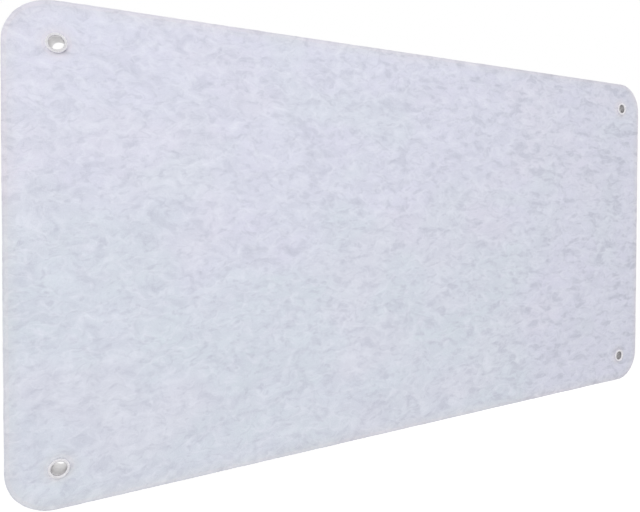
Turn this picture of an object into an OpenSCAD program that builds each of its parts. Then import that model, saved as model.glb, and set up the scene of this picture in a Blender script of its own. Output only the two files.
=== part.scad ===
// Acoustic wall panel: two boards of pressed felt, bonded face to face, with a
// clinched metal eyelet through each corner that takes the hook or screw which
// holds the panel to the wall.
//
// Millimetres, +Z up. The wall is the plane Y = 0 and the room is towards -Y.
// The origin is the centre of the panel's back face. Left and right are as seen
// from the room. Heights in the profiles below are heights off the wall.

/* [Panel] */
// Width of the panel
panel_w = 1100; // [600:10:2400]
// Height of the panel
panel_h = 600; // [300:10:1200]
// Radius of the panel's corners
corner_r = 54; // [30:1:120]
// Thickness of one felt board
board_t = 12; // [7:0.5:24]
// Thickness of the bonding web between the two boards
web_t = 0.2; // [0.1:0.05:0.6]
// Radius that eases the cut edge of each outer face
edge_r = 1.2; // [0.4:0.1:3]

/* [Eyelets] */
// Distance of an eyelet's centre from the nearest side edge
side_inset = 55; // [35:1:120]
// Distance of an eyelet's centre from the nearest top or bottom edge
end_inset = 50; // [35:1:120]
// Clear diameter through an eyelet
bore_d = 16; // [8:0.5:30]
// Width of the rolled rim, from the bore to its outside
rim_w = 4; // [2.4:0.1:8]
// Height of the straight skirt between the front face and the round of the rim
skirt_h = 1.6; // [0.4:0.1:3]
// Thickness of the eyelet's sheet metal
sheet_t = 0.8; // [0.5:0.05:1]
// Outside radius of the roll that clinches the neck over the washer
neck_roll_r = 1.3; // [1.1:0.1:2]

/* [Back washers] */
// Width of the flat land between the rolled neck and the washer's bead
washer_land = 0.8; // [0.3:0.1:4]
// Thickness of a washer's flat web
washer_t = 0.8; // [0.5:0.05:1.2]
// Radius of the bead round a washer's outer edge
bead_r = 0.8; // [0.5:0.05:1.2]

/* [Fits] */
// Radial gap between an eyelet's barrel and the punched felt
barrel_gap = 0.2; // [0.05:0.05:0.5]
// Radial gap between the barrel and the hole of its washer
washer_gap = 0.15; // [0.05:0.05:0.4]
// Radial gap between a washer and the pressed seat round it
seat_gap = 0.25; // [0.1:0.05:0.6]
// How far the clinched neck lies below the back face
flush_gap = 0.2; // [0.1:0.05:1]

/* [Hidden] */
// The corners, named as seen from the room, with the side of the centre that each is on
CORNERS = [["top_left", -1, 1], ["top_right", 1, 1], ["bottom_left", -1, -1], ["bottom_right", 1, -1]];

$fn = 96;

// How far cutters run past the material that they cut
overrun = 2;

// Heights off the wall of the faces between the layers
web_back_h = board_t;
web_front_h = web_back_h + web_t;
front_h = web_front_h + board_t;

// Eyelet: the rim is the front half of a tube ring, on a short skirt
bore_r = bore_d / 2;
barrel_r = bore_r + sheet_t;
rim_tube_r = rim_w / 2;
rim_mid_r = bore_r + rim_tube_r;
rim_mid_h = front_h + skirt_h;

// Neck: the back half of a smaller ring, rolled outwards over the washer
neck_mid_r = bore_r + neck_roll_r;
neck_mid_h = flush_gap + neck_roll_r;

// Washer: its flat web lies between the rolled neck and the floor of its seat
washer_back_h = neck_mid_h;
seat_floor_h = washer_back_h + washer_t;
washer_hole_r = barrel_r + washer_gap;
bead_mid_r = bore_r + 2 * neck_roll_r + washer_land + bead_r;
bead_mid_h = seat_floor_h - bead_r;
seat_r = bead_mid_r + bead_r + seat_gap;

// Hole punched through the felt for the barrel
punch_r = barrel_r + barrel_gap;

felt_color = [0.84, 0.85, 0.90];
web_color = [0.93, 0.92, 0.88];
metal_color = [0.86, 0.86, 0.87];

// Turns a shape drawn upwards along Z to stand off the wall, towards the room
module off_wall(height = 0) {
    translate([0, -height, 0]) rotate([90, 0, 0]) children();
}

// Where a corner's eyelet is, across and up from the panel's centre
function eyelet_place(corner) = [
    corner[1] * (panel_w / 2 - side_inset),
    corner[2] * (panel_h / 2 - end_inset),
    0
];

// Where the centre of a corner's round is, across and up from the panel's centre
function round_place(corner) = [
    corner[1] * (panel_w / 2 - corner_r),
    corner[2] * (panel_h / 2 - corner_r),
    0
];

// The panel's outline as a plate, with true round corners
module rounded_plate(thickness) {
    difference() {
        translate([-panel_w / 2, -panel_h / 2, 0]) cube([panel_w, panel_h, thickness]);
        for (c = CORNERS)
            translate(round_place(c) - [0, 0, overrun]) difference() {
                translate((corner_r + overrun) * [min(c[1], 0), min(c[2], 0), 0])
                    cube([corner_r + overrun, corner_r + overrun, thickness + 2 * overrun]);
                cylinder(r = corner_r, h = thickness + 2 * overrun);
            }
    }
}

// What eases a face's edge: a square with the round edge's quarter taken out.
// The origin is the centre of the round edge, and the face is above it.
module easing_profile() {
    difference() {
        square([edge_r + overrun, edge_r + overrun]);
        circle(r = edge_r);
    }
}

// The easing cutter, carried right round the outline of a plate's top face
module easing_cutter(top) {
    translate([0, 0, top - edge_r]) {
        for (c = CORNERS)
            translate(round_place(c))
                rotate([0, 0, atan2(c[2], c[1]) - 45])
                    rotate_extrude(angle = 90)
                        translate([corner_r - edge_r, 0]) easing_profile();
        for (side = [0, 1]) mirror([side, 0, 0])
            translate([panel_w / 2 - edge_r, panel_h / 2 - corner_r, 0])
                rotate([90, 0, 0])
                    linear_extrude(height = panel_h - 2 * corner_r) easing_profile();
        for (side = [0, 1]) mirror([0, side, 0])
            translate([corner_r - panel_w / 2, panel_h / 2 - edge_r, 0])
                rotate([90, 0, 90])
                    linear_extrude(height = panel_w - 2 * corner_r) easing_profile();
    }
}

// A round hole at each of the four eyelets, from below the wall side of a layer
module eyelet_holes(hole_r, depth) {
    for (c = CORNERS)
        translate(eyelet_place(c) - [0, 0, overrun])
            cylinder(r = hole_r, h = depth + overrun);
}

// The board that faces the room
module front_felt_board() {
    color(felt_color) off_wall(web_front_h) difference() {
        rounded_plate(board_t);
        easing_cutter(board_t);
        eyelet_holes(punch_r, board_t + overrun);
    }
}

// The board on the wall side, with a seat pressed round each hole so that the
// washers and clinched necks stay below its back face
module back_felt_board() {
    color(felt_color) off_wall() difference() {
        rounded_plate(board_t);
        translate([0, 0, board_t]) mirror([0, 0, 1]) easing_cutter(board_t);
        eyelet_holes(punch_r, board_t + overrun);
        eyelet_holes(seat_r, seat_floor_h);
    }
}

// The hot-melt web that bonds the boards, punched with them
module bonding_web() {
    color(web_color) off_wall(web_back_h) difference() {
        rounded_plate(web_t);
        eyelet_holes(punch_r, web_t + overrun);
    }
}

// Half of a tube ring's wall, on the +Y side, around the origin
module half_ring_wall(outer_r) {
    difference() {
        circle(r = outer_r);
        circle(r = outer_r - sheet_t);
        translate([-outer_r - overrun, -outer_r - overrun])
            square([2 * (outer_r + overrun), outer_r + overrun]);
    }
}

// A drawn eyelet: rolled rim, skirt, barrel and clinched neck in one sheet
module eyelet_sleeve(corner) {
    color(metal_color) off_wall() translate(eyelet_place(corner)) rotate_extrude() {
        translate([rim_mid_r, rim_mid_h]) half_ring_wall(rim_tube_r);
        translate([bore_r + rim_w - sheet_t, front_h]) square([sheet_t, skirt_h]);
        translate([bore_r, neck_mid_h]) square([sheet_t, rim_mid_h - neck_mid_h]);
        translate([neck_mid_r, neck_mid_h]) mirror([0, 1]) half_ring_wall(neck_roll_r);
    }
}

// A washer with a bead round its outer edge, trapped between felt and neck
module eyelet_washer(corner) {
    color(metal_color) off_wall() translate(eyelet_place(corner)) rotate_extrude() {
        translate([washer_hole_r, washer_back_h]) square([bead_mid_r - washer_hole_r, washer_t]);
        translate([bead_mid_r, bead_mid_h]) circle(r = bead_r);
    }
}

front_felt_board();
back_felt_board();
bonding_web();
for (c = CORNERS) eyelet_sleeve(c);
for (c = CORNERS) eyelet_washer(c);
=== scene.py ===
"""Looks of the acoustic wall panel: pressed felt boards, loose fibres and metal eyelets."""
import math

import bmesh
import bpy
import numpy as np
from mathutils import Euler, Matrix, Vector


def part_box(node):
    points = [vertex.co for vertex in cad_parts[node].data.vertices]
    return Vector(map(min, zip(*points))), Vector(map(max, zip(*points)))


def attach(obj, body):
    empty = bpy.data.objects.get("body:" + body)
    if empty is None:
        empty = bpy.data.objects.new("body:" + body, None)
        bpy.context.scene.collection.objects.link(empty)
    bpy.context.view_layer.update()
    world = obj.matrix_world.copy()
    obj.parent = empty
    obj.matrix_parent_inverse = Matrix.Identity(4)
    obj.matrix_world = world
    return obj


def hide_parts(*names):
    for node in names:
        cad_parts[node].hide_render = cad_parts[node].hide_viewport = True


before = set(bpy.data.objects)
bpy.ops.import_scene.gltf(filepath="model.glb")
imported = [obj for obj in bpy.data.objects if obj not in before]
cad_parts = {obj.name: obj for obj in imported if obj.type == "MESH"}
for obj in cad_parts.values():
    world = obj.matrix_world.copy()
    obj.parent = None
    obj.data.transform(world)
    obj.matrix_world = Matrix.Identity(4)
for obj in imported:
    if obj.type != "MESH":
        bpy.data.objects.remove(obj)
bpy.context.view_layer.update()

MM = 0.001

# The panel, read from the frame: X across, Z up, the wall at Y = 0 and the room towards -Y
front_lo, front_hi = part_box("front_felt_board")
back_lo, back_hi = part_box("back_felt_board")
PANEL_W = front_hi.x - front_lo.x
PANEL_H = front_hi.z - front_lo.z
FRONT_Y = front_lo.y
BACK_Y = back_hi.y
CORNER_R = 54 * MM
EDGE_R = 1.2 * MM

CORNERS = {
    "top_left": (-1, 1),
    "top_right": (1, 1),
    "bottom_left": (-1, -1),
    "bottom_right": (1, -1),
}


def eyelet_centre(corner):
    """The middle of a corner's eyelet in the X and Z directions, from its node's box."""
    lo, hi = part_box("eyelet_sleeve_" + corner)
    return np.array([(lo.x + hi.x) / 2, (lo.z + hi.z) / 2])


EYELETS = {corner: eyelet_centre(corner) for corner in CORNERS}
SIDE_INSET = PANEL_W / 2 + EYELETS["top_left"][0]
END_INSET = PANEL_H / 2 - EYELETS["top_left"][1]

# One eyelet and its washer
sleeve_lo, sleeve_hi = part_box("eyelet_sleeve_top_left")
washer_lo, washer_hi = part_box("eyelet_washer_top_left")
RIM_R = (sleeve_hi.x - sleeve_lo.x) / 2
RIM_TUBE = 2 * MM
SKIRT = 1.6 * MM
SHEET = 0.8 * MM
BORE_R = RIM_R - 2 * RIM_TUBE
NECK_ROLL = 1.3 * MM
FLUSH_GAP = 0.2 * MM
NECK_H = NECK_ROLL + FLUSH_GAP
WASHER_R = (washer_hi.x - washer_lo.x) / 2
WASHER_GAP = 0.15 * MM
BEAD_R = 0.8 * MM
PUNCH_R = 9 * MM
SEAT_GAP = 0.25 * MM
SEAT_R = WASHER_R + SEAT_GAP
SEAT_DEPTH = BACK_Y - washer_lo.y


# Soft relief: sums of plane waves, so that a surface rolls without ever repeating

def wave_set(seed, count, shortest, longest):
    """Wave vectors in random directions with wavelengths from shortest to longest, and random
    phases."""
    rng = np.random.default_rng(seed)
    directions = rng.normal(size=(count, 3))
    directions /= np.linalg.norm(directions, axis=1)[:, None]
    lengths = np.exp(rng.uniform(math.log(shortest), math.log(longest), count))
    return directions * (2 * math.pi / lengths)[:, None], rng.uniform(0, 2 * math.pi, count)


def relief(points, waves):
    """The sum of the cosines of all waves at each point, scaled to a spread of about one."""
    vectors, phases = waves
    total = np.zeros(len(points))
    for vector, phase in zip(vectors, phases):
        total += np.cos(points @ vector + phase)
    return total * math.sqrt(2 / len(phases))


# Each relief with how far it lifts the felt
SWELLS = wave_set(seed=3, count=40, shortest=40 * MM, longest=160 * MM)
SWELL_LIFT = 0.10 * MM
TUFTS = wave_set(seed=5, count=90, shortest=9 * MM, longest=26 * MM)
TUFT_LIFT = 0.085 * MM
BURRS = wave_set(seed=8, count=90, shortest=7 * MM, longest=16 * MM)
BURR_LIFT = 0.06 * MM
WANDER = wave_set(seed=9, count=40, shortest=22 * MM, longest=110 * MM)
WANDER_LIFT = 0.11 * MM

# How fast the knife's wander changes through the thickness, as a share of how fast it changes
# along the side
KNIFE_DRIFT = 0.15

# The collar of felt round a rim: its height, how far out its crest is and how wide it is, and
# the distance over which the relief grows from nothing at the rim
COLLAR_LIFT = 1.05 * MM
COLLAR_OUT = 0.1 * MM
COLLAR_WIDTH = 1.9 * MM
CLEAR_REACH = 6 * MM


def eyelet_distance(points):
    """How far each point is from the axis of the nearest eyelet."""
    flat = points[:, [0, 2]]
    return np.min([np.linalg.norm(flat - centre, axis=1) for centre in EYELETS.values()], axis=0)


def face_lift(points):
    """How far the skin of an outer face stands out, in metres: slow swells and fine tufts, fading
    to nothing under an eyelet's rim, and a low collar of felt pushed up just outside the rim."""
    away = eyelet_distance(points) - RIM_R
    clear = np.clip(away / CLEAR_REACH, 0, 1) ** 1.5
    collar = np.exp(-((away - COLLAR_OUT) / COLLAR_WIDTH) ** 2)
    soft = relief(points, SWELLS) * SWELL_LIFT + relief(points, TUFTS) * TUFT_LIFT
    return soft * clear + collar * COLLAR_LIFT


def side_lift(points):
    """How far the cut side stands out: the knife's slow wander, the same for both boards, and fine
    burrs."""
    level = points * [1, KNIFE_DRIFT, 1]
    return relief(level, WANDER) * WANDER_LIFT + relief(points, BURRS) * BURR_LIFT


# Grids and shells

def straight(start, end, steps):
    """Points spread evenly from start to end."""
    return np.linspace(start, end, steps)


def add_piece(name, mesh):
    """A new object at the origin with the given mesh."""
    piece = bpy.data.objects.new(name, mesh)
    bpy.context.collection.objects.link(piece)
    return piece


def set_smooth(mesh):
    """Smooth shading on every face."""
    mesh.polygons.foreach_set("use_smooth", np.ones(len(mesh.polygons), dtype=bool))


def shell(name, patches):
    """One closed mesh from grids of points. Each patch is (points[rows, columns, 3], material
    index, closed), where closed joins the last column to the first."""
    verts, faces, slots = [], [], []
    start = 0
    for points, slot, closed in patches:
        rows, columns = points.shape[:2]
        index = np.arange(rows * columns).reshape(rows, columns) + start
        across = np.roll(index, -1, axis=1) if closed else index[:, 1:]
        left = index if closed else index[:, :-1]
        quads = np.stack([left[:-1], across[:-1], across[1:], left[1:]], -1).reshape(-1, 4)
        verts.append(points.reshape(-1, 3))
        faces.append(quads)
        slots.append(np.full(len(quads), slot))
        start += rows * columns
    mesh = bpy.data.meshes.new(name)
    mesh.from_pydata(np.concatenate(verts).tolist(), [], np.concatenate(faces).tolist())
    mesh.polygons.foreach_set("material_index", np.concatenate(slots).astype(np.int32))
    piece = add_piece(name, mesh)
    close_shell(piece)
    return piece


def close_shell(piece, merge=0.002 * MM, crease=math.radians(50)):
    """Merges the seams between patches, fills what is still open, turns all faces outwards and
    shades them smooth, but for creases sharper than the given angle."""
    bm = bmesh.new()
    bm.from_mesh(piece.data)
    bmesh.ops.remove_doubles(bm, verts=bm.verts, dist=merge)
    rims = [edge for edge in bm.edges if edge.is_boundary]
    if rims:
        bmesh.ops.triangle_fill(bm, use_beauty=True, use_dissolve=False, edges=rims)
    bmesh.ops.recalc_face_normals(bm, faces=bm.faces)
    bm.to_mesh(piece.data)
    bm.free()
    set_smooth(piece.data)
    piece.data.set_sharp_from_angle(angle=crease)


def read_points(mesh):
    """A mesh's vertices and their normals as arrays."""
    points = np.empty(len(mesh.vertices) * 3)
    normals = np.empty(len(mesh.vertices) * 3)
    mesh.vertices.foreach_get("co", points)
    mesh.vertex_normals.foreach_get("vector", normals)
    return points.reshape(-1, 3), normals.reshape(-1, 3)


# The outline of a felt board, in nine blocks: one round each eyelet and five between them

BLOCK_STEPS = 32
FACE_STEP = 3.2 * MM
INNER_X = PANEL_W / 2 - 2 * SIDE_INSET
INNER_Z = PANEL_H / 2 - 2 * END_INSET
MIDDLE_COLUMNS = round((PANEL_W - 4 * SIDE_INSET) / FACE_STEP)
MIDDLE_ROWS = round((PANEL_H - 4 * END_INSET) / FACE_STEP)

# The first rings round a hole, by their distance from its edge, closest where the felt meets an
# eyelet's rim, and how many even rings follow them
NEAR_RINGS = np.array([0, 1.2, 2.2, 2.7, 3.0, 3.3, 3.7, 4.2, 4.9, 5.8, 7.0]) * MM
FAR_RINGS = 18

# Rows of points down a bore, down and across a seat, round an eased edge and down the cut side
BORE_ROWS = 6
SEAT_ROWS = 4
EASE_ROWS = 6
SIDE_ROWS = 5

# Where the cut side starts to round off at the seam, by its distance from the inner face, and
# the two rows of that round: how far in each lies, and how far from the inner face
SEAM_START = 0.6 * MM
SEAM_ROUND = ((0.08 * MM, 0.25 * MM), (0.35 * MM, 0))


def block_outline(inset):
    """The edge of the top right corner block, round its eyelet, as X and Z offsets from the
    panel's centre. It runs up the right side, round the corner's arc and along the top, then down
    and back inside the panel. The two outer sides are cut into equal lengths and the two inner
    sides into equal steps."""
    half_w, half_h, radius = PANEL_W / 2 - inset, PANEL_H / 2 - inset, CORNER_R - inset
    side = half_h - radius - INNER_Z
    arc_length = radius * math.pi / 2
    top = half_w - radius - INNER_X
    travel = np.linspace(0, side + arc_length + top, 2 * BLOCK_STEPS + 1)
    turn = np.clip((travel - side) / radius, 0, math.pi / 2)
    past_arc = np.clip(travel - side - arc_length, 0, None)
    before_arc = np.clip(side - travel, 0, None)
    outer = np.stack([
        half_w - radius + radius * np.cos(turn) - past_arc,
        half_h - radius + radius * np.sin(turn) - before_arc,
    ], -1)
    down = straight((INNER_X, half_h), (INNER_X, INNER_Z), BLOCK_STEPS + 1)
    across = straight((INNER_X, INNER_Z), (half_w, INNER_Z), BLOCK_STEPS + 1)
    return np.concatenate([outer[:-1], down[:-1], across[:-1]])


def outline_loop(inset):
    """The whole outline, moved inwards by inset, as X and Z, once round anticlockwise from the
    right side."""
    outer = block_outline(inset)[:2 * BLOCK_STEPS + 1]
    half_w, half_h = PANEL_W / 2 - inset, PANEL_H / 2 - inset
    top = straight((INNER_X, half_h), (-INNER_X, half_h), MIDDLE_COLUMNS + 1)[1:-1]
    left = straight((-half_w, INNER_Z), (-half_w, -INNER_Z), MIDDLE_ROWS + 1)[1:-1]
    return np.concatenate([
        outer, top, outer[::-1] * [-1, 1], left, -outer, -top, outer[::-1] * [1, -1], -left,
    ])


def outline_normals(inset):
    """The outward directions at the points of outline_loop: straight out from a side, radial on a
    corner's arc."""
    points = outline_loop(inset)
    beyond = np.abs(points) - np.array([PANEL_W / 2 - CORNER_R, PANEL_H / 2 - CORNER_R])
    out = np.where(beyond > 1e-7, beyond, 0) * np.sign(points)
    return out / np.linalg.norm(out, axis=1)[:, None]


def place(flat, y):
    """X and Z points set at the distance y from the wall."""
    return np.stack([flat[..., 0], np.broadcast_to(y, flat.shape[:-1]), flat[..., 1]], -1)


def flat_grid(xs, zs, y):
    """A plain rectangular grid over the given columns and rows."""
    across, up = np.meshgrid(xs, zs)
    return place(np.stack([across, up], -1), y)


def corner_block(corner, inset, hole_r, y):
    """The face round one eyelet and the edge of its hole. The rings have their points on straight
    rays from the eyelet's centre: true circles at first, and then even steps from the last circle
    to the block's edge."""
    centre = np.array([PANEL_W / 2 - SIDE_INSET, PANEL_H / 2 - END_INSET])
    edge = block_outline(inset)
    away = edge - centre
    rays = away / np.linalg.norm(away, axis=1)[:, None]
    near = centre + rays * (hole_r + NEAR_RINGS)[:, None, None]
    share = np.linspace(0, 1, FAR_RINGS + 1)[1:, None, None]
    rings = np.concatenate([near, near[-1] + share * (edge - near[-1])])
    return place(rings * CORNERS[corner], y), near[0] * CORNERS[corner]


def felt_board(name, face_y, inner_y, hole_r, seat_depth):
    """A pressed felt board: the outer face in nine blocks, an edge rounded by a quarter circle, a
    straight cut side, four punched holes that may start in a wider seat, and a flat inner face."""
    inward = 1 if inner_y > face_y else -1
    half_w, half_h = PANEL_W / 2 - EDGE_R, PANEL_H / 2 - EDGE_R
    columns = np.linspace(-INNER_X, INNER_X, MIDDLE_COLUMNS + 1)
    rows = np.linspace(-INNER_Z, INNER_Z, MIDDLE_ROWS + 1)
    top = np.linspace(INNER_Z, half_h, BLOCK_STEPS + 1)
    right = np.linspace(INNER_X, half_w, BLOCK_STEPS + 1)
    middle = ((columns, rows), (columns, top), (columns, -top), (right, rows), (-right, rows))
    patches = [(flat_grid(xs, zs, face_y), 0, False) for xs, zs in middle]
    for corner in CORNERS:
        block, hole = corner_block(corner, EDGE_R, hole_r, face_y)
        patches.append((block, 0, True))
        start_y = face_y
        if seat_depth:
            start_y = face_y + inward * seat_depth
            centre = EYELETS[corner]
            ledge = centre + (hole - centre) * PUNCH_R / hole_r
            wall = [place(hole, y) for y in np.linspace(face_y, start_y, SEAT_ROWS)]
            floor = [place(hole + (ledge - hole) * share, start_y)
                     for share in np.linspace(0, 1, SEAT_ROWS)]
            patches += [(np.stack(wall), 1, True), (np.stack(floor), 1, True)]
            hole = ledge
        bore = [place(hole, y) for y in np.linspace(start_y, inner_y, BORE_ROWS)]
        patches.append((np.stack(bore), 1, True))
    loop, out = outline_loop(EDGE_R), outline_normals(EDGE_R)
    eased = [
        place(loop + out * EDGE_R * math.sin(turn), face_y + inward * EDGE_R * (1 - math.cos(turn)))
        for turn in np.linspace(0, math.pi / 2, EASE_ROWS)
    ]
    side_end = inner_y - inward * SEAM_START
    side = [place(loop + out * EDGE_R, y)
            for y in np.linspace(face_y + inward * EDGE_R, side_end, SIDE_ROWS)]
    side += [place(loop + out * (EDGE_R - sunk), inner_y - inward * left)
             for sunk, left in SEAM_ROUND]
    patches += [(np.stack(eased), 0, True), (np.stack(side), 1, True)]
    piece = shell(name, patches)
    press_relief(piece, face_y, inner_y)
    return piece


# Shares of a board's thickness: how deep the face's relief reaches, where the seam starts, and
# over how much the side's relief fades towards it. The inner face's edge has the full relief.
FACE_SHARE = 1 / 8
SEAM_SHARE = 0.985
SEAM_FADE_SHARE = 0.06

# The wall face keeps its hollows only and also sinks by this share of its relief. Round a seat
# the side's relief is off for a little way.
WALL_SINK = 0.2
SEAT_CLEAR = 0.2 * MM


def press_relief(piece, face_y, inner_y):
    """Moves the skin along its normals by face_lift on the outer face and side_lift on the cut
    side. The wall face only sinks, and the inner face stays flat."""
    points, normals = read_points(piece.data)
    depth = np.abs(points[:, 1] - face_y) / abs(inner_y - face_y)
    on_face = np.clip(1 - depth / FACE_SHARE, 0, 1)
    lift = face_lift(points)
    if face_y > inner_y:
        lift = np.minimum(lift, 0) - np.abs(lift) * WALL_SINK
    in_seat = eyelet_distance(points) < SEAT_R + SEAT_CLEAR
    before_seam = np.clip((SEAM_SHARE - depth) / SEAM_FADE_SHARE, 0, 1)
    side = np.where(in_seat, 0, side_lift(points)) * np.where(depth > SEAM_SHARE, 1, before_seam)
    moved = points + normals * (lift * on_face + side * (1 - on_face))[:, None]
    piece.data.vertices.foreach_set("co", moved.ravel())
    piece.data.update()


# Eyelets, as surfaces of revolution

TURN_STEPS = 120

# The marks of the star punch on a rolled neck: how many, how deep, below which height and from
# which distance outside the bore, the power that shapes them and the level that stays in place
SCALLOPS = 10
SCALLOP_DEPTH = 0.22 * MM
SCALLOP_TOP = 1.9 * MM
SCALLOP_FROM = 0.9 * MM
SCALLOP_POWER = 0.6
SCALLOP_LEVEL = 0.8

# How many radians the marks turn for each metre across and up to an eyelet
SCALLOP_TURNS = (40, 90)


def arc(centre, radius, start, end, steps):
    """Points (radius, height) on a circle from one angle to another, in degrees, anticlockwise
    from outwards."""
    turn = np.radians(np.linspace(start, end, steps))
    return np.stack([centre[0] + radius * np.cos(turn), centre[1] + radius * np.sin(turn)], -1)


def scallop(reach, height, angles, centre):
    """How far each point of a turned profile moves out or in under the star punch: most where the
    rolled neck is close to the wall and far from the bore. The marks start at another angle on
    each eyelet."""
    low = np.clip((SCALLOP_TOP - height) / MM, 0, 1)
    outside = np.clip((reach - BORE_R - SCALLOP_FROM) / MM, 0, 1)
    phase = centre @ SCALLOP_TURNS
    wave = np.abs(np.cos(angles * SCALLOPS / 2 + phase)) ** SCALLOP_POWER
    return low * outside * (wave - SCALLOP_LEVEL) * SCALLOP_DEPTH


def revolve(name, corner, profile, scalloped=False):
    """A profile of (distance from the axis, height off the wall) turned once round the corner's
    axis, with the star punch's marks where scalloped is set."""
    angles = np.linspace(0, 2 * math.pi, TURN_STEPS, endpoint=False)
    centre = EYELETS[corner]
    reach = np.repeat(profile[:, :1], TURN_STEPS, axis=1)
    height = np.repeat(profile[:, 1:], TURN_STEPS, axis=1)
    if scalloped:
        reach = reach + scallop(reach, height, angles, centre)
    across = centre[0] + reach * np.cos(angles)
    up = centre[1] + reach * np.sin(angles)
    return shell(name, [(np.stack([across, -height, up], -1), 0, True)])


def sleeve_profile():
    """Round the section of the drawn sheet: from the skirt's rounded lip over the rim, down the
    bore, round the rolled neck, and back up between the barrel and the felt to the inside of the
    rim."""
    front_h = -FRONT_Y
    rim_mid = np.array([BORE_R + RIM_TUBE, front_h + SKIRT])
    neck_mid = np.array([BORE_R + NECK_ROLL, NECK_H])
    lip = np.array([RIM_R - SHEET / 2, front_h + SHEET / 2])
    neck_lip = neck_mid + [NECK_ROLL - SHEET / 2, 0]
    inner, outer = BORE_R, BORE_R + SHEET
    barrel_top, barrel_foot = rim_mid[1] - MM, NECK_H + MM
    skirt_in, skirt_top = RIM_R - SHEET, lip[1] + 0.6 * MM
    return np.concatenate([
        arc(lip, SHEET / 2, 180, 360, 9),
        arc(rim_mid, RIM_TUBE, 0, 180, 33),
        straight((inner, barrel_top), (inner, barrel_foot), 9),
        arc(neck_mid, NECK_ROLL, 180, 360, 23),
        arc(neck_lip, SHEET / 2, 20, 160, 6),
        arc(neck_mid, NECK_ROLL - SHEET, 360, 180, 11),
        straight((outer, barrel_foot), (outer, barrel_top), 5),
        arc(rim_mid, RIM_TUBE - SHEET, 180, 0, 13),
        straight((skirt_in, skirt_top), (skirt_in, lip[1]), 2),
    ])


def washer_profile():
    """Round the section of the washer: its flat web with eased corners, a small fillet, and the
    bead at its outer edge."""
    ease, fillet, gap = 0.2 * MM, 0.30 * MM, 0.05 * MM
    inner = BORE_R + SHEET + WASHER_GAP
    bead = np.array([WASHER_R - BEAD_R, NECK_H])
    foot = bead[0] - BEAD_R - fillet
    return np.concatenate([
        arc((inner + ease, NECK_H + SHEET - ease), ease, 90, 180, 4),
        arc((inner + ease, NECK_H + ease), ease, 180, 270, 4),
        straight((inner + 2 * ease, NECK_H), (foot - gap, NECK_H), 4),
        arc((foot, NECK_H - fillet), fillet, 80, 20, 4),
        arc(bead, BEAD_R, 200, 450, 25),
    ])


# Loose fibres

# How thick a thread is at its tips, as a share of its middle, and the share of threads in the
# second colour
TIP_SHARE = 0.33
GREY_SHARE = 0.3

# The top of the range that random phases are drawn from, about one turn in radians, and the range
# of how far a heading sways
PHASE_TOP = 6.28
SWAYS = (0.1, 0.6)

# Fibres on the face, lengths in millimetres: the usual length, the spread of its logarithm, the
# least and the greatest length, the range of heights they bow to, the power that shapes the bow
# and the range of half their thickness
FACE_LENGTH = 9
FACE_LENGTH_SPREAD = 0.45
FACE_LENGTHS = (4, 22)
FACE_BOWS = (0.16, 0.42)
FACE_BOW_POWER = 0.6
FACE_WIDTHS = (0.045, 0.085)

# Their heading, as its mean and its spread in radians, and the spread of how far they curl
FACE_HEADING = (0.1, 0.9)
FACE_CURL_SPREAD = 1.5

# Ends out of the cut side, in millimetres: the range of their lengths before they bend over, and
# of half their thickness. The rest are shares of that length: where an end starts inside the
# felt, how far it rises, how strongly it bends over and the spread of its lean.
EDGE_LENGTHS = (0.5, 1.8)
EDGE_WIDTHS = (0.030, 0.050)
EDGE_ROOT = -0.25
EDGE_RISE = 0.8
EDGE_BEND = 0.7
EDGE_LEAN_SPREAD = 0.9


def strand_mesh(name, paths, sides, stands, widths, slots):
    """Three-sided closed threads. Each path is a row of points, with a sideways and an outward
    direction at each point. The three corners lie round the path at a distance that is the tip
    share of the thread's width, plus the rest of it times the sine of the way along: the whole
    width in the middle, and the tip share at the ends."""
    count, steps = paths.shape[:2]
    along = np.linspace(0, math.pi, steps)
    thick = widths[:, None] * (TIP_SHARE + (1 - TIP_SHARE) * np.sin(along))
    rings = [paths + thick[..., None] * (math.cos(turn) * sides + math.sin(turn) * stands)
             for turn in np.radians([90, 210, 330])]
    verts = np.stack(rings, 2).reshape(-1, 3)
    first = (np.arange(count) * steps * 3)[:, None, None] + (np.arange(steps - 1) * 3)[:, None]
    a, b = np.arange(3), (np.arange(3) + 1) % 3
    quads = np.stack([first + a, first + a + 3, first + b + 3, first + b], -1).reshape(-1, 4)
    roots = np.arange(count)[:, None] * steps * 3
    tips = roots + (steps - 1) * 3
    caps = np.concatenate([roots + [0, 1, 2], tips + [2, 1, 0]])
    mesh = bpy.data.meshes.new(name)
    mesh.from_pydata(verts.tolist(), [], quads.tolist() + caps.tolist())
    face_slots = np.concatenate([np.repeat(slots, (steps - 1) * 3), slots, slots])
    mesh.polygons.foreach_set("material_index", face_slots.astype(np.int32))
    set_smooth(mesh)
    return add_piece(name, mesh)


def wander(rng, steps, lengths, headings, curls):
    """Flat paths of the given lengths whose heading turns steadily by its curl and sways a little
    on the way."""
    along = np.linspace(0, 1, steps)
    swing = rng.uniform(*SWAYS, len(lengths))[:, None]
    phase = rng.uniform(0, PHASE_TOP, len(lengths))[:, None]
    sway = swing * np.sin(2 * math.pi * along + phase)
    heading = headings[:, None] + curls[:, None] * (along - 0.5) + sway
    stride = np.stack([np.cos(heading), np.sin(heading)], -1)
    path = np.cumsum(stride * (lengths / (steps - 1))[:, None, None], axis=1)
    return path - path.mean(axis=1, keepdims=True), heading


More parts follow.
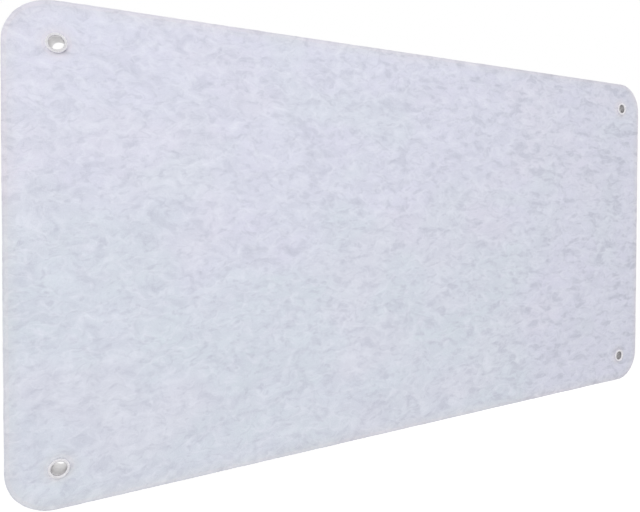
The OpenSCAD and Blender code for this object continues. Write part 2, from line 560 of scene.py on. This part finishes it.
def face_fibres(seed=21, count=4700, steps=7, margin=1.5 * MM, root=0.12 * MM):
    """Fibres that lie on the front face: each dives into the felt at both ends and bows up between
    them. They keep clear of the outline and of the rims by their own half length and a margin."""
    rng = np.random.default_rng(seed)
    middle = rng.uniform(-1, 1, (count * 2, 2)) * [PANEL_W / 2, PANEL_H / 2]
    lengths = np.exp(rng.normal(math.log(FACE_LENGTH), FACE_LENGTH_SPREAD, count * 2))
    lengths = lengths.clip(*FACE_LENGTHS) * MM
    reach = lengths / 2 + margin
    arc_centre = [PANEL_W / 2 - CORNER_R, PANEL_H / 2 - CORNER_R]
    beyond = np.clip(np.abs(middle) - arc_centre, 0, None)
    inside = np.linalg.norm(beyond, axis=1) < CORNER_R - reach
    clear = eyelet_distance(np.insert(middle, 1, 0, axis=1)) > RIM_R + reach
    middle, lengths = middle[inside & clear][:count], lengths[inside & clear][:count]
    count = len(middle)
    headings = rng.normal(*FACE_HEADING, count)
    curls = rng.normal(0, FACE_CURL_SPREAD, count)
    flat, heading = wander(rng, steps, lengths, headings, curls)
    flat = flat + middle[:, None]
    skin = face_lift(place(flat, FRONT_Y).reshape(-1, 3)).reshape(count, steps)
    arch = np.sin(np.linspace(0, math.pi, steps)) ** FACE_BOW_POWER
    bow = arch * rng.uniform(*FACE_BOWS, count)[:, None] * MM - root
    paths = place(flat, FRONT_Y - skin - bow)
    sides = np.stack([np.sin(heading), np.zeros_like(heading), -np.cos(heading)], -1)
    stands = np.broadcast_to([0, -1, 0], sides.shape)
    widths = rng.uniform(*FACE_WIDTHS, count) * MM
    slots = (rng.uniform(size=count) < GREY_SHARE).astype(int)
    return strand_mesh("face_fibres", paths, sides, stands, widths, slots)


def edge_fibres(seed=22, count=2600, steps=6, margin=1.5 * MM):
    """Short ends that stand out of the cut side all round, rooted in it and bent over."""
    rng = np.random.default_rng(seed)
    loop, out = outline_loop(0), outline_normals(0)
    pick = rng.integers(0, len(loop), count)
    share = rng.uniform(size=count)[:, None]
    after = (pick + 1) % len(loop)
    root = loop[pick] * (1 - share) + loop[after] * share
    away = out[pick] * (1 - share) + out[after] * share
    away /= np.linalg.norm(away, axis=1)[:, None]
    outward = np.stack([away[:, 0], np.zeros(count), away[:, 1]], -1)
    level = rng.uniform(FRONT_Y + margin, BACK_Y - margin, count)
    root = np.stack([root[:, 0], level, root[:, 1]], -1)
    lean = rng.normal(0, EDGE_LEAN_SPREAD, (count, 3))
    lean -= outward * np.sum(lean * outward, axis=1)[:, None]
    lengths = rng.uniform(*EDGE_LENGTHS, count) * MM
    along = np.linspace(EDGE_ROOT, 1, steps)[:, None]
    rise = outward[:, None] * along * EDGE_RISE
    bend = lean[:, None] * along * np.abs(along) * EDGE_BEND
    paths = root[:, None] + (rise + bend) * lengths[:, None, None]
    forward = np.gradient(paths, axis=1)
    forward /= np.linalg.norm(forward, axis=2)[..., None]
    sides = np.cross(forward, np.roll(outward, 1, axis=1)[:, None])
    sides /= np.linalg.norm(sides, axis=2)[..., None]
    stands = np.cross(sides, forward)
    widths = rng.uniform(*EDGE_WIDTHS, count) * MM
    slots = (rng.uniform(size=count) < GREY_SHARE).astype(int)
    return strand_mesh("edge_fibres", paths, sides, stands, widths, slots)


# Materials

class Nodes:
    """Short calls that build the nodes of a material or a world. What is fed to a socket is a
    number, a tuple, or another node's output."""

    def __init__(self, owner):
        owner.use_nodes = True
        self.tree = owner.node_tree
        self.tree.nodes.clear()

    def feed(self, socket, value):
        """Joins an output to the socket, or sets the socket's own value."""
        if isinstance(value, bpy.types.NodeSocket):
            self.tree.links.new(value, socket)
        elif socket.type == "RGBA":
            socket.default_value = (*value, 1.0)
        else:
            socket.default_value = value

    def add(self, kind, sockets=None, **settings):
        """A node of the given kind with its settings made and its sockets fed."""
        node = self.tree.nodes.new("ShaderNode" + kind)
        for key, value in settings.items():
            setattr(node, key, value)
        for key, value in (sockets or {}).items():
            self.feed(node.inputs[key], value)
        return node

    def coords(self):
        """Positions on the piece, in metres from the panel's origin."""
        return self.add("TexCoord").outputs["Object"]

    def math(self, operation, *values):
        """One step of arithmetic on numbers."""
        return self.add("Math", dict(enumerate(values)), operation=operation).outputs[0]

    def times_plus(self, first, second, third):
        """The first times the second, plus the third."""
        return self.math("MULTIPLY_ADD", first, second, third)

    def vector(self, operation, *values):
        """One step of arithmetic on vectors. A length or a distance is given as a number."""
        node = self.add("VectorMath", dict(enumerate(values)), operation=operation)
        return node.outputs["Value" if operation in ("LENGTH", "DISTANCE") else "Vector"]

    def split(self, vector):
        """The X, Y and Z of a vector, by their names."""
        return self.add("SeparateXYZ", {0: vector}).outputs

    def noise(self, coords, scale, detail=2.0, rough=0.5):
        """Soft random values, as Fac and as Color."""
        sockets = {"Vector": coords, "Scale": scale, "Detail": detail, "Roughness": rough}
        return self.add("TexNoise", sockets).outputs

    def ramp(self, value, *stops):
        """Colours between the given (position, colour or grey level) stops."""
        node = self.add("ValToRGB", {"Fac": value})
        elements = node.color_ramp.elements
        while len(elements) < len(stops):
            elements.new(1.0)
        for element, (position, tone) in zip(elements, stops):
            element.position = position
            element.color = (*tone, 1.0) if isinstance(tone, tuple) else (tone, tone, tone, 1.0)
        return node.outputs["Color"]

    def slope(self, value, start, end, low=0.0, high=1.0, shape="SMOOTHSTEP"):
        """Low up to start, high beyond end and a slope between them."""
        return self.add("MapRange", {
            "Value": value,
            "From Min": start,
            "From Max": end,
            "To Min": low,
            "To Max": high,
        }, interpolation_type=shape).outputs[0]

    def blend(self, amount, below, above, mode="MIX", data="RGBA"):
        """One value laid over another by the given amount."""
        sockets = {"Factor": amount, "A": below, "B": above}
        return self.add("Mix", sockets, data_type=data, blend_type=mode).outputs["Result"]

    def bump(self, height, strength, distance):
        """Normals tilted by the slopes of a height."""
        sockets = {"Height": height, "Strength": strength, "Distance": distance}
        return self.add("Bump", sockets).outputs[0]

    def mix_shaders(self, amount, first, second):
        """Two shaders mixed by the given amount."""
        return self.add("MixShader", {"Fac": amount, 1: first, 2: second}).outputs[0]

    def principled(self, **sockets):
        """The surface shader, set as the material's look. A socket's name is written with
        underscores for its spaces."""
        named = {key.replace("_", " "): value for key, value in sockets.items()}
        shader = self.add("BsdfPrincipled", named)
        self.add("OutputMaterial", {"Surface": shader.outputs[0]})


FELT_PALE = (0.736, 0.757, 0.857)
FELT_DARK = (0.582, 0.600, 0.701)
FELT_SHADE = (0.494, 0.508, 0.609)
FELT_LILAC = (0.723, 0.721, 0.846)
FELT_GREEN = (0.678, 0.738, 0.804)
FELT_WHITE = (0.818, 0.834, 0.919)
FELT_ROSE = (0.758, 0.744, 0.838)
FELT_MOSS = (0.706, 0.753, 0.819)

# Tints that multiply the felt's colour: where a tool has pressed it, and where hands hold it
PRESSED = (1.021, 0.997, 0.985)
HANDLED = (0.994, 0.987, 0.964)

# Where the dye turns green: between which heights and which distances to the side, and how far a
# slow drift moves each of the two borders
GREEN_BELOW = (-0.20, -0.12)
GREEN_ASIDE = (0.34, 0.48)
BELOW_DRIFT = -0.34
ASIDE_DRIFT = 0.30

# How strongly the web is drawn out towards the right, and the warp that curls every pattern
CARD_DRAW = -0.145
WARP_SCALE = 37
WARP_REACH = 0.019

# The felt's layers, each a colour laid where a noise is high: the colour, the noise's scale, turn
# in degrees, stretch, detail and offset, the level of it where the layer starts and the level
# where it is full, and the amount it then has
PALE_PATCHES = (FELT_PALE, 13.0, 0, 1.0, 2, 3.1, 0.35, 0.65, 0.55)
ROSE_PATCHES = (FELT_ROSE, 9.5, 0, 1.3, 1, 40.6, 0.54, 0.66, 0.5)
MOSS_PATCHES = (FELT_MOSS, 12.5, 0, 1.3, 1, 47.2, 0.55, 0.67, 0.6)
CLOUDS = (FELT_DARK, 26, 4, 1.5, 1, 33.3, 0.35, 0.65, 0.18)
CLUMPS = (FELT_DARK, 59, 8, 1.8, 1, 1.7, 0.36, 0.66, 0.33)
PITS = (FELT_SHADE, 82, -6, 1.8, 1, 5.2, 0.55, 0.68, 0.92)
SPECKS = (FELT_SHADE, 130, 12, 1.6, 1, 9.9, 0.60, 0.70, 0.40)

# How much of the pits shows at the left side and at the right side
PITS_LEFT = 0.24
PITS_RIGHT = 0.76

# Tufts that curl over the surface: colour, half width of a line in the noise, amount, and the
# scale, turn and offset of each noise
CURLS = (
    (FELT_SHADE, 0.045, 0.29, ((44, -12, 20.3), (60, 25, 26.3))),
    (FELT_WHITE, 0.055, 0.33, ((35, 20, 8.4), (47, -25, 12.9), (63, 5, 16.1))),
)

# Where the second noise lets a curl show
CURL_GATE = ((0.46, 0.0), (0.58, 1.0))

# Bundles of fibres and then single fibres: scale, stretch, turn, offset and how far they lift
STREAKS = (
    (1500, 16, 8, 0.3, 0.7),
    (1500, 16, 67, 2.2, 0.7),
    (1500, 16, -48, 4.9, 0.7),
    (4800, 34, 28, 6.1, 0.5),
    (4800, 34, -21, 8.8, 0.5),
    (4800, 34, 95, 11.5, 0.5),
)
CUT_STREAK_SHARE = 0.3

# Which levels of the noise are pale and dark, in a streak and in a ply of the cut side
PALE_STREAK = ((0.60, 0.0), (0.68, 0.22))
DARK_STREAK = ((0.30, 0.24), (0.38, 0.0))
PALE_PLY = ((0.50, 0.0), (0.58, 0.9))
DARK_PLY = ((0.38, 0.9), (0.50, 0.0))
PLY_LIFT = 2.6

# Strips along an edge: how far from it the strip's border lies, and how far to either side of
# that border the tint fades
KNIFE_STRIP = (6.4 * MM, 0.9 * MM)
DIE_STRIP = (4.6 * MM, 0.9 * MM)
HAND_STRIP = (13 * MM, 8 * MM)
RIM_HAND_STRIP = (9 * MM, 5 * MM)
RAGGED = 1.6 * MM

# The crease where the eased edge meets the face, darkened as painted shade: its middle, half width
# and depth of tone
CREASE_IN = 2.4 * MM
CREASE_HALF = 1.1 * MM
CREASE_SHADE = 0.30


def outline_depth(nodes, coords):
    """How far a point lies inside the panel's outline, a rounded rectangle: the distance to the
    nearest straight side, or in a corner the radius less the distance to the round's centre. The
    thickness is pushed out of reach, so that it never counts."""
    out_of_reach = 10
    arc_centre = (PANEL_W / 2 - CORNER_R, out_of_reach, PANEL_H / 2 - CORNER_R)
    beyond = nodes.vector("SUBTRACT", nodes.vector("ABSOLUTE", coords), arc_centre)
    past_corner = nodes.vector("LENGTH", nodes.vector("MAXIMUM", beyond, (0, 0, 0)))
    sides = nodes.split(beyond)
    within = nodes.math("MINIMUM", nodes.math("MAXIMUM", sides["X"], sides["Z"]), 0)
    return nodes.math("SUBTRACT", CORNER_R, nodes.math("ADD", past_corner, within))


def rim_gap(nodes, coords):
    """How far a point lies outside the nearest eyelet's rim, measured in the panel's plane."""
    flat = nodes.vector("MULTIPLY", nodes.vector("ABSOLUTE", coords), (1, 0, 1))
    centre = (EYELETS["top_right"][0], 0, EYELETS["top_right"][1])
    return nodes.math("SUBTRACT", nodes.vector("DISTANCE", flat, centre), RIM_R)


def felt_material(name, cut_edge=False):
    """Pressed melange felt. A slow warp bends every pattern so that the fibres curl. Over it lie
    cloudy tints, flecks of darker and paler fibre clumps, and thin streaks at different angles
    that stand for single fibres. The same streaks drive the bump."""
    material = bpy.data.materials.new(name)
    nodes = Nodes(material)
    coords = nodes.coords()
    axes = nodes.split(coords)

    # the web of fibres is drawn out more and more towards one side, as it comes off the card
    from_side = nodes.math("ADD", axes["X"], PANEL_W / 2)
    squared = nodes.math("MULTIPLY", from_side, from_side)
    drawn = nodes.times_plus(squared, CARD_DRAW, axes["X"])
    carded = nodes.add("CombineXYZ", {"X": drawn, "Y": axes["Y"], "Z": axes["Z"]}).outputs[0]
    warp = nodes.vector("SUBTRACT", nodes.noise(carded, WARP_SCALE)["Color"], (0.5, 0.5, 0.5))
    curled = nodes.vector("MULTIPLY_ADD", warp, (WARP_REACH, WARP_REACH, WARP_REACH), carded)

    def pattern(scale, turn=0, stretch=1, detail=2, rough=0.5, source=curled, offset=0):
        """Noise turned in the panel's plane and drawn out along its own X."""
        turned = nodes.add("Mapping", {
            "Vector": source,
            "Rotation": (0, math.radians(turn), 0),
            "Location": (offset, offset, offset),
        }, vector_type="POINT").outputs[0]
        squashed = nodes.vector("MULTIPLY", turned, (1 / stretch, 1, 1))
        return nodes.noise(squashed, scale, detail, rough)["Fac"]

    def lay(below, layer, share=None):
        """A layer over the colour below it, thinned by a share where one is given."""
        tone, scale, turn, stretch, detail, offset, start, full, most = layer
        grain = pattern(scale, turn, stretch, detail, offset=offset)
        amount = nodes.ramp(grain, (start, 0.0), (full, most))
        if share is not None:
            amount = nodes.math("MULTIPLY", amount, share)
        return nodes.blend(amount, below, tone)

    def press(below, distance, strip, tint):
        """A tint over a strip that fades out at its border."""
        reach, fade = strip
        amount = nodes.slope(distance, reach - fade, reach + fade, 1, 0)
        return nodes.blend(amount, below, tint, mode="MULTIPLY")

    # the dye drifts from lilac at the top and the right side to green low on the left
    drift = pattern(5.5, source=coords, offset=2.6)
    low = nodes.slope(nodes.times_plus(drift, BELOW_DRIFT, axes["Z"]), *GREEN_BELOW, 1, 0)
    aside = nodes.slope(nodes.times_plus(drift, ASIDE_DRIFT, axes["X"]), *GREEN_ASIDE, 1, 0)
    base = nodes.blend(nodes.math("MULTIPLY", low, aside), FELT_LILAC, FELT_GREEN)

    for layer in (PALE_PATCHES, ROSE_PATCHES, MOSS_PATCHES, CLOUDS, CLUMPS):
        base = lay(base, layer)
    half_w = PANEL_W / 2
    base = lay(base, PITS, nodes.slope(axes["X"], -half_w, half_w, PITS_LEFT, PITS_RIGHT, "LINEAR"))
    base = lay(base, SPECKS)

    # thin curved lines where a noise crosses its middle, kept only where a second noise is high
    for tone, half_line, amount, curls in CURLS:
        for scale, turn, offset in curls:
            grain = pattern(scale, turn, stretch=1.7, detail=1, offset=offset)
            line = nodes.ramp(grain, (0.5 - half_line, 0.0), (0.5, 1.0), (0.5 + half_line, 0.0))
            gate = pattern(scale * 1.4, detail=0, offset=offset + 2)
            kept = nodes.math("MULTIPLY", line, nodes.ramp(gate, *CURL_GATE))
            base = nodes.blend(nodes.math("MULTIPLY", kept, amount), base, tone)

    height = pattern(420, detail=3, offset=6.6)
    for scale, stretch, turn, offset, lift in STREAKS:
        streak = pattern(scale, turn, stretch, detail=1, offset=offset)
        height = nodes.times_plus(streak, CUT_STREAK_SHARE * lift if cut_edge else lift, height)
        base = nodes.blend(nodes.ramp(streak, *PALE_STREAK), base, FELT_WHITE)
        base = nodes.blend(nodes.ramp(streak, *DARK_STREAK), base, FELT_DARK)

    # the knife shows the fibres in thin plies that lie along the board
    if cut_edge:
        along = nodes.vector("MULTIPLY", coords, (0.10, 1, 0.10))
        plies = pattern(1100, detail=3, rough=0.7, source=along, offset=7.7)
        height = nodes.times_plus(plies, PLY_LIFT, height)
        base = nodes.blend(nodes.ramp(plies, *DARK_PLY), base, FELT_SHADE)
        base = nodes.blend(nodes.ramp(plies, *PALE_PLY), base, FELT_WHITE)

    # strips that the knife, the eyelet's die and hands leave, with painted shade along the crease
    # at the eased edge
    ragged = pattern(240, detail=1, source=coords, offset=30.0)
    edge_in = nodes.times_plus(ragged, RAGGED, outline_depth(nodes, coords))
    rim_out = nodes.times_plus(ragged, RAGGED, rim_gap(nodes, coords))
    off_crease = nodes.math("ABSOLUTE", nodes.math("SUBTRACT", edge_in, CREASE_IN))
    crease = nodes.math("MULTIPLY", nodes.slope(off_crease, 0, CREASE_HALF, 1, 0), CREASE_SHADE)
    # painted shade: the felt is darkened towards FELT_DARK in a thin band along the eased edge
    base = nodes.blend(crease, base, FELT_DARK)
    base = press(base, edge_in, HAND_STRIP, HANDLED)
    base = press(base, edge_in, KNIFE_STRIP, PRESSED)
    base = press(base, rim_out, RIM_HAND_STRIP, HANDLED)
    base = press(base, rim_out, DIE_STRIP, PRESSED)

    nodes.principled(
        Base_Color=base,
        Roughness=0.95,
        Specular_IOR_Level=0.15,
        Sheen_Weight=0.12,
        Sheen_Roughness=0.55,
        Normal=nodes.bump(height, strength=0.60, distance=0.45 * MM),
    )
    return material


# A thread's darkest tone, as a share of its own
THREAD_DARK = 0.93


def fibre_material(name, tone):
    """One loose polyester fibre: a plain tone that varies a little from thread to thread, with some
    sheen."""
    material = bpy.data.materials.new(name)
    nodes = Nodes(material)
    drift = nodes.noise(nodes.coords(), 70)["Fac"]
    darker = tuple(value * THREAD_DARK for value in tone)
    nodes.principled(
        Base_Color=nodes.ramp(drift, (0.35, darker), (0.65, tone)),
        Roughness=0.7,
        Specular_IOR_Level=0.3,
        Sheen_Weight=0.2,
    )
    return material


# The plating's darker and paler tone in the barrel and on the rim, where the barrel's darker plate
# is partly painted shade in the bore and the rim's paler plate partly a painted highlight, the
# barrel's roughness where it is smoothest and roughest, and how much smoother the rim is
BARREL_SHADED_TONES = ((0.730, 0.721, 0.727), (0.830, 0.821, 0.827))
RIM_HIGHLIGHT_TONES = ((0.80, 0.79, 0.82), (0.90, 0.89, 0.92))
BARREL_ROUGH = (0.41, 0.59)
RIM_SMOOTHER = 0.23


def nickel_material():
    """Satin nickel plate. The rim, polished by hands and hooks, is glossier than the barrel behind
    it and paler, partly as wear and partly as a painted highlight; the darker barrel is partly
    painted shade in the bore. Smudges vary the tone and the roughness, and fine scratches the bump."""
    material = bpy.data.materials.new("nickel")
    nodes = Nodes(material)
    coords = nodes.coords()
    y = nodes.split(coords)["Y"]
    # 1 on the rim and 0 in the barrel: it makes the rim glossier, switches the marks, and steps the
    #                                   colour from the darker barrel, partly painted shade, to the
    #                                   paler rim, partly a painted highlight
    polish_and_painted_light = nodes.slope(y, FRONT_Y + 0.5 * MM, FRONT_Y - 1.5 * MM, shape="LINEAR")
    smudge = nodes.noise(coords, 260, detail=3)["Fac"]
    barrel, rim = [nodes.ramp(smudge, (0.3, dark), (0.7, pale))
                   for dark, pale in (BARREL_SHADED_TONES, RIM_HIGHLIGHT_TONES)]
    barrel_rough = nodes.slope(smudge, 0, 1, *BARREL_ROUGH, shape="LINEAR")

    # turning marks run round the rim, and draw marks down the barrel
    rings = nodes.add("CombineXYZ", {"X": rim_gap(nodes, coords), "Y": y}).outputs[0]
    turned = nodes.noise(rings, 5200, detail=1)["Fac"]
    drawn = nodes.noise(nodes.vector("MULTIPLY", coords, (1, 0.03, 1)), 2600, detail=1)["Fac"]
    marks = nodes.blend(polish_and_painted_light, drawn, turned, data="FLOAT")
    nodes.principled(
        Metallic=1.0,
        Base_Color=nodes.blend(polish_and_painted_light, barrel, rim),
        Roughness=nodes.times_plus(polish_and_painted_light, -RIM_SMOOTHER, barrel_rough),
        Normal=nodes.bump(marks, strength=0.18, distance=0.04 * MM),
    )
    return material


def bond_material():
    """The hot-melt web: milky and a little glossy, with fine strands in its tone."""
    material = bpy.data.materials.new("bond_film")
    nodes = Nodes(material)
    strands = nodes.noise(nodes.coords(), 900)["Fac"]
    tone = nodes.ramp(strands, (0.35, (0.60, 0.60, 0.60)), (0.65, (0.78, 0.77, 0.74)))
    nodes.principled(Base_Color=tone, Roughness=0.5)
    return material


def give(piece, *materials):
    """Sets a piece's materials, in the order of its faces' material indices."""
    piece.data.materials.clear()
    for material in materials:
        piece.data.materials.append(material)


# Pieces

felt_face = felt_material("felt_face")
felt_edge = felt_material("felt_edge", cut_edge=True)
nickel = nickel_material()

front_felt = felt_board("front_felt", FRONT_Y, front_hi.y, PUNCH_R, 0)
back_felt = felt_board("back_felt", BACK_Y, back_lo.y, SEAT_R, SEAT_DEPTH)
for piece, node in ((front_felt, "front_felt_board"), (back_felt, "back_felt_board")):
    give(piece, felt_face, felt_edge)
    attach(piece, "root")
    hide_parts(node)

give(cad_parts["bonding_web"], bond_material())
for corner in CORNERS:
    sleeve = revolve("sleeve_" + corner, corner, sleeve_profile(), scalloped=True)
    washer = revolve("washer_" + corner, corner, washer_profile())
    for piece, node in ((sleeve, "eyelet_sleeve_" + corner), (washer, "eyelet_washer_" + corner)):
        give(piece, nickel)
        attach(piece, "root")
        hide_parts(node)

fibre_pale = fibre_material("fibre_pale", FELT_WHITE)
fibre_grey = fibre_material("fibre_grey", FELT_DARK)
for piece in (face_fibres(), edge_fibres()):
    give(piece, fibre_pale, fibre_grey)
    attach(piece, "root")


# Stage, light and camera

FLOOR_BELOW = 0.62
FLOOR_HALF = 9.0
FLOOR_GREY = (0.85, 0.85, 0.85)

# Where the floor starts to fade to plain white and where it is plain, from the panel's middle
FLOOR_FADE = (1.2, 3.2)

# What the near floor adds of its own for the camera, and for what the metal reflects
CAMERA_GLOW = 0.40
METAL_GLOW = 0.05

WHITE = (1, 1, 1)
WORLD_FILL = 0.46

# How white the room's side is in the metal, and where it starts and ends, as a heading's Y
ROOM_SIDE = 0.78
ROOM_FADE = (-1.0, -0.55)


def stage_material():
    """White floor that takes the panel's shadow. Away from the panel it fades to the plain white
    that the camera and the metal see all round. Seen from below it is clear."""
    material = bpy.data.materials.new("stage_white")
    nodes = Nodes(material)
    rays = nodes.add("LightPath").outputs
    reach = nodes.vector("LENGTH", nodes.vector("MULTIPLY", nodes.coords(), (1, 1, 0)))
    far = nodes.slope(reach, *FLOOR_FADE)
    in_metal = nodes.math("MULTIPLY", rays["Is Glossy Ray"], METAL_GLOW)
    glow = nodes.times_plus(rays["Is Camera Ray"], CAMERA_GLOW, in_metal)
    matte = nodes.add("BsdfDiffuse", {"Color": FLOOR_GREY}).outputs[0]
    near_glow = nodes.add("Emission", {"Strength": glow}).outputs[0]
    near = nodes.add("AddShader", {0: matte, 1: near_glow}).outputs[0]
    seen = nodes.math("MAXIMUM", rays["Is Camera Ray"], rays["Is Glossy Ray"])
    plain = nodes.add("Emission").outputs[0]
    above = nodes.mix_shaders(nodes.math("MULTIPLY", far, seen), near, plain)
    clear = nodes.add("BsdfTransparent").outputs[0]
    behind = nodes.add("NewGeometry").outputs["Backfacing"]
    nodes.add("OutputMaterial", {"Surface": nodes.mix_shaders(behind, above, clear)})
    return material


def make_floor():
    """A plain floor some way under the panel, as below a panel that hangs on a wall."""
    half, z = FLOOR_HALF, -PANEL_H / 2 - FLOOR_BELOW
    mesh = bpy.data.meshes.new("floor")
    corners = [(-half, -half, z), (half, -half, z), (half, half, z), (-half, half, z)]
    mesh.from_pydata(corners, [], [(0, 1, 2, 3)])
    floor = add_piece("floor", mesh)
    give(floor, stage_material())


def make_world():
    """Even white fill, with plain white where the camera or the metal sees past the panel. In the
    metal the room's side of the studio, straight in front of the panel, is a little greyer."""
    world = bpy.data.worlds.new("studio")
    bpy.context.scene.world = world
    nodes = Nodes(world)
    rays = nodes.add("LightPath").outputs
    heading = nodes.split(nodes.add("TexCoord").outputs["Generated"])
    room = nodes.slope(heading["Y"], *ROOM_FADE, low=ROOM_SIDE)
    level = nodes.math("MAXIMUM", rays["Is Camera Ray"], room)
    seen = nodes.math("MAXIMUM", rays["Is Camera Ray"], rays["Is Glossy Ray"])
    fill = nodes.add("Background", {"Color": WHITE, "Strength": WORLD_FILL}).outputs[0]
    white = nodes.add("Background", {"Color": WHITE, "Strength": level}).outputs[0]
    nodes.add("OutputWorld", {"Surface": nodes.mix_shaders(seen, fill, white)})


def soft_lamp(name, spot, aim, size, power):
    """A square soft box at spot that faces aim."""
    light = bpy.data.lights.new(name, "AREA")
    light.shape = "SQUARE"
    light.size = size
    light.energy = power
    lamp = bpy.data.objects.new(name, light)
    lamp.location = spot
    lamp.rotation_mode = "QUATERNION"
    lamp.rotation_quaternion = (Vector(aim) - Vector(spot)).to_track_quat("-Z", "Y")
    lamp.visible_glossy = False
    bpy.context.collection.objects.link(lamp)


# The camera as solved from the photo's outline: its place in metres, its lens in millimetres on
# the sensor's width, and how far the lens is shifted as a share of that width
CAMERA_SPOT = (-0.40562, FRONT_Y - 0.59385, 0.07094)
SENSOR_WIDTH = 36.0
LENS = 24.70
LENS_SHIFT = -0.08254


def make_camera(tilt=-0.798, turn=-22.300, roll=0.124):
    """The photograph's view: a wide lens left of the panel's middle, level with it and turned to
    the right, by the given degrees. The picture's middle lies below the lens axis, so the lens is
    shifted down."""
    data = bpy.data.cameras.new("camera")
    data.sensor_width = SENSOR_WIDTH
    data.lens = LENS
    data.shift_y = LENS_SHIFT
    camera = bpy.data.objects.new("camera", data)
    camera.location = CAMERA_SPOT
    aimed = Euler((math.radians(90 + tilt), 0, math.radians(turn))).to_matrix()
    camera.rotation_mode = "QUATERNION"
    rolled = aimed @ Matrix.Rotation(math.radians(roll), 3, "Z")
    camera.rotation_quaternion = rolled.to_quaternion()
    bpy.context.collection.objects.link(camera)
    bpy.context.scene.camera = camera


make_floor()
make_world()
soft_lamp("key", spot=(-1.0, -2.9, 1.8), aim=(-0.1, 0, 0), size=1.6, power=70)
soft_lamp("back_fill", spot=(1.5, 2.6, 1.3), aim=(0, 0, 0), size=2.0, power=42)
make_camera()
bpy.context.scene.view_settings.view_transform = "Standard"
